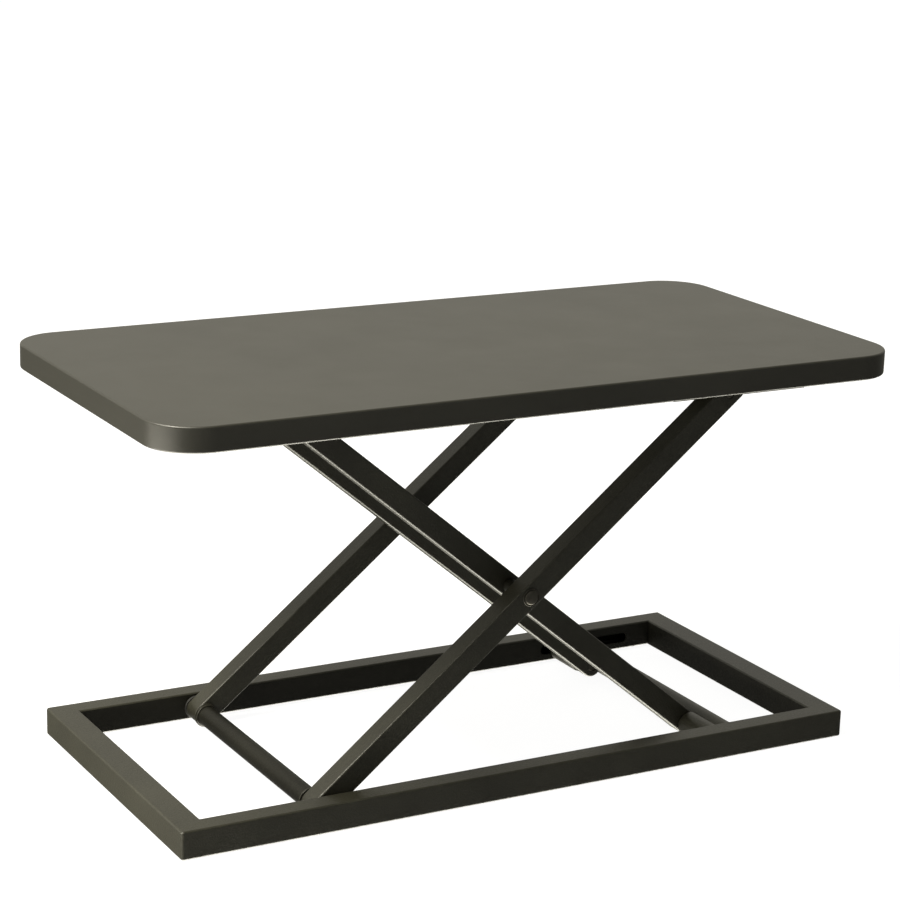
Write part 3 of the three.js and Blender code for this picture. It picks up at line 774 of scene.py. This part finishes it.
def make_screw(name):
    centre = middle(name)
    head_z = low(name).z
    head_radius = half_size(name, 0)
    mesh = turned_solid(screw_points(head_radius, high(name).z - head_z), Vector((0, 0, 0)), SCREW_SIDES)
    upright = Matrix.Rotation(math.radians(90), 4, "X")
    mesh.transform(Matrix.Translation((centre.x, centre.y, head_z)) @ upright)
    reach = 0.5 * head_radius
    slots = [
        box_mesh((centre.x - a, centre.y - b, head_z - 1 * MM),
                 (centre.x + a, centre.y + b, head_z + RECESS_DEPTH))
        for a, b in ((reach, RECESS_HALF_WIDTH), (RECESS_HALF_WIDTH, reach))
    ]
    link_piece(name + "_cut", cut(mesh, slots), "table", "zinc_steel", [name])


for entry in frame["record"]["subparts"]:
    if "_screw_" in entry["node"]:
        make_screw(entry["node"])


# ---- The other CAD nodes: merged corners, eased edges and their slot's finish ----

CAD_EDGE = 0.3 * MM
CAD_EDGE_SEGMENTS = 2
WELD_REACH = 0.01 * MM


def dress_cad_node(node, slot):
    piece = nodes[node]
    piece.data.materials.clear()
    # The pivot spacers take the darker copy of the paint: painted shade between the crossing arms.
    piece.data.materials.append(PAINTED_SHADE_PAINT if node.startswith("pivot_spacer") else FINISH[slot])
    piece.data.shade_smooth()
    weld = piece.modifiers.new("merged_corners", "WELD")
    weld.merge_threshold = WELD_REACH
    bevel = piece.modifiers.new("eased_edges", "BEVEL")
    bevel.width = CAD_EDGE
    bevel.segments = CAD_EDGE_SEGMENTS
    bevel.limit_method = "ANGLE"
    bevel.angle_limit = FLAT_ANGLE
    piece.modifiers.new("flat_faces", "WEIGHTED_NORMAL")


for entry in frame["record"]["subparts"]:
    dress_cad_node(entry["node"], entry["material_slot"])


# ---- Floor, backdrop and lights ----

STAGE_RADIUS = 30.0
STAGE_SIDES = 64
FLOOR_BASE = 0.2
FLOOR_GLOW = 0.94
BACKDROP_GLOW = 1.0
PAPER_ROUGHNESS = 0.95
WORLD_TINT = (1.0, 0.965, 0.84)
WORLD_FRONT = 0.24
WORLD_BACK = 0.76
WORLD_BELOW = 0.35
# A bright patch straight below, which draws the bright lines along the arms' lower edges.
WORLD_CARD = 16.0
CARD_EDGE = -0.72
CARD_FULL = -0.9
WARM = (1.0, 0.95, 0.82)


def stage_piece(name, mesh, base, glow):
    """A plain pale stage piece that the camera sees and that glows evenly."""
    material, tree, shader = new_material(name + "_paper")
    shader.inputs["Base Color"].default_value = (base, base, base, 1)
    shader.inputs["Roughness"].default_value = PAPER_ROUGHNESS
    shader.inputs["Specular IOR Level"].default_value = 0.0
    shader.inputs["Emission Color"].default_value = (1, 1, 1, 1)
    shader.inputs["Emission Strength"].default_value = glow
    mesh.materials.append(material)
    piece = bpy.data.objects.new(name, mesh)
    bpy.context.scene.collection.objects.link(piece)
    piece.visible_glossy = False
    return piece


def stage_ring(radius, z):
    return [
        Vector((radius * math.cos(2 * math.pi * step / STAGE_SIDES),
                radius * math.sin(2 * math.pi * step / STAGE_SIDES), z))
        for step in range(STAGE_SIDES)
    ]


def make_stage():
    shape = bmesh.new()
    shape.faces.new([shape.verts.new(point) for point in stage_ring(STAGE_RADIUS, 0)])
    stage_piece("floor", mesh_of(shape), FLOOR_BASE, FLOOR_GLOW)
    shape = bmesh.new()
    skin(shape, [stage_ring(STAGE_RADIUS, 0), stage_ring(STAGE_RADIUS, STAGE_RADIUS)])
    backdrop = stage_piece("backdrop", mesh_of(shape), 0.0, BACKDROP_GLOW)
    backdrop.visible_diffuse = False
    backdrop.visible_shadow = False


def softbox(name, place, target, width, height, power, colour):
    data = bpy.data.lights.new(name, "AREA")
    data.shape = "RECTANGLE"
    data.size = width
    data.size_y = height
    data.energy = power
    data.color = colour
    light = bpy.data.objects.new(name, data)
    toward = Vector(place) - Vector(target)
    turn = toward.to_track_quat("Z", "Y").to_matrix().to_4x4()
    light.matrix_world = Matrix.Translation(Vector(place)) @ turn
    light.visible_camera = False
    bpy.context.scene.collection.objects.link(light)


def smooth_step(tree, value, first, last, weak, strong):
    """Maps first..last to weak..strong, with soft ends."""
    remap = tree.nodes.new("ShaderNodeMapRange")
    remap.interpolation_type = "SMOOTHSTEP"
    remap.inputs["From Min"].default_value = first
    remap.inputs["From Max"].default_value = last
    remap.inputs["To Min"].default_value = weak
    remap.inputs["To Max"].default_value = strong
    tree.links.new(value, remap.inputs["Value"])
    return remap.outputs["Result"]


def combine(tree, operation, first, second):
    node = tree.nodes.new("ShaderNodeMath")
    node.operation = operation
    tree.links.new(first, node.inputs[0])
    tree.links.new(second, node.inputs[1])
    return node.outputs["Value"]


def make_world():
    """Soft light: strong behind the object, weak in front and below, and a bright patch straight below."""
    world = bpy.data.worlds.new("studio")
    bpy.context.scene.world = world
    world.use_nodes = True
    tree = world.node_tree
    background = tree.nodes["Background"]
    background.inputs["Color"].default_value = (*WORLD_TINT, 1)
    direction = tree.nodes.new("ShaderNodeTexCoord").outputs["Generated"]
    parts = tree.nodes.new("ShaderNodeSeparateXYZ")
    tree.links.new(direction, parts.inputs["Vector"])
    depth = smooth_step(tree, parts.outputs["Y"], -0.2, 0.7, WORLD_FRONT, WORLD_BACK)
    height = smooth_step(tree, parts.outputs["Z"], -0.12, 0.06, WORLD_BELOW, 1.0)
    card = smooth_step(tree, parts.outputs["Z"], CARD_EDGE, CARD_FULL, 0.0, WORLD_CARD)
    total = combine(tree, "ADD", combine(tree, "MULTIPLY", depth, height), card)
    tree.links.new(total, background.inputs["Strength"])


make_stage()
make_world()
softbox("left_softbox", (-1.75, -0.1, 2.5), (0, 0, 0.2), 1.5, 1.3, 225, WARM)
softbox("side_card", (-0.8, -0.05, 0.06), (-0.3, 0, 0.02), 0.6, 0.1, 5.0, WARM)
bpy.context.scene.view_settings.view_transform = "Standard"
